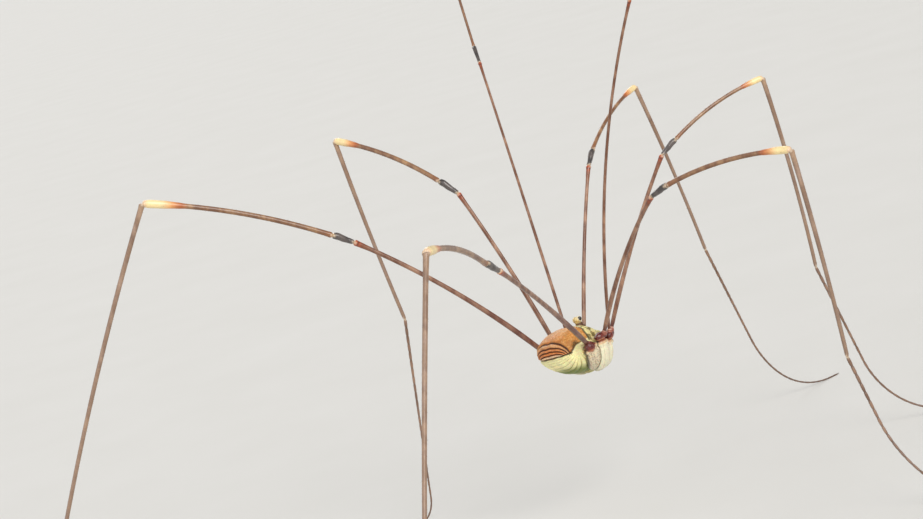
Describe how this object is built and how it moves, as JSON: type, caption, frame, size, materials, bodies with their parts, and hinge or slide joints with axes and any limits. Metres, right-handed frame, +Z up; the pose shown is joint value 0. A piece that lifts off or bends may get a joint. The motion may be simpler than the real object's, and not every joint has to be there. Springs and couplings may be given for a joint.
{
  "type": "harvestman",
  "caption": "Long-legged harvestman with a plump one-piece body, stilted thread-like legs with pale knees, and its second legs raised as feelers",
  "frame": {"origin": "on the floor, under the middle of the whole animal's outline", "axes": "+X the way the animal faces, +Y its left side, +Z up"},
  "size_m": [0.1178, 0.1654, 0.0566],
  "materials": {
    "ochre_back": "finely granular, satin",
    "straw_carapace": "smooth with brown speckles, satin",
    "gold_mound": "smooth, satin",
    "cream_coxae": "smooth, waxy",
    "russet_legs": "satin, with pale joint ends",
    "slate_knees": "satin",
    "tan_feet": "satin, with fine short hairs",
    "black_eye": "polished"
  },
  "bodies": {
    "root": {"abdomen": "ochre_back", "carapace": "straw_carapace", "genital_plate": "cream_coxae", "eye_mound": "gold_mound", "eye_left": "black_eye", "chelicera_left": "cream_coxae", "pedipalp_left": "tan_feet", "coxa_1_left": "cream_coxae", "coxa_2_left": "cream_coxae", "coxa_3_left": "cream_coxae", "coxa_4_left": "cream_coxae", "femur_1_left": "russet_legs", "patella_1_left": "slate_knees", "tibia_1_left": "russet_legs", "metatarsus_1_left": "tan_feet", "tarsus_1_left": "tan_feet", "femur_2_left": "russet_legs", "patella_2_left": "slate_knees", "tibia_2_left": "russet_legs", "metatarsus_2_left": "tan_feet", "tarsus_2_left": "tan_feet", "femur_3_left": "russet_legs", "patella_3_left": "slate_knees", "tibia_3_left": "russet_legs", "metatarsus_3_left": "tan_feet", "tarsus_3_left": "tan_feet", "femur_4_left": "russet_legs", "patella_4_left": "slate_knees", "tibia_4_left": "russet_legs", "metatarsus_4_left": "tan_feet", "tarsus_4_left": "tan_feet", "eye_right": "black_eye", "chelicera_right": "cream_coxae", "pedipalp_right": "tan_feet", "coxa_1_right": "cream_coxae", "coxa_2_right": "cream_coxae", "coxa_3_right": "cream_coxae", "coxa_4_right": "cream_coxae", "femur_1_right": "russet_legs", "patella_1_right": "slate_knees", "tibia_1_right": "russet_legs", "metatarsus_1_right": "tan_feet", "tarsus_1_right": "tan_feet", "femur_2_right": "russet_legs", "patella_2_right": "slate_knees", "tibia_2_right": "russet_legs", "metatarsus_2_right": "tan_feet", "tarsus_2_right": "tan_feet", "femur_3_right": "russet_legs", "patella_3_right": "slate_knees", "tibia_3_right": "russet_legs", "metatarsus_3_right": "tan_feet", "tarsus_3_right": "tan_feet", "femur_4_right": "russet_legs", "patella_4_right": "slate_knees", "tibia_4_right": "russet_legs", "metatarsus_4_right": "tan_feet", "tarsus_4_right": "tan_feet"}
  },
  "joints": []
}
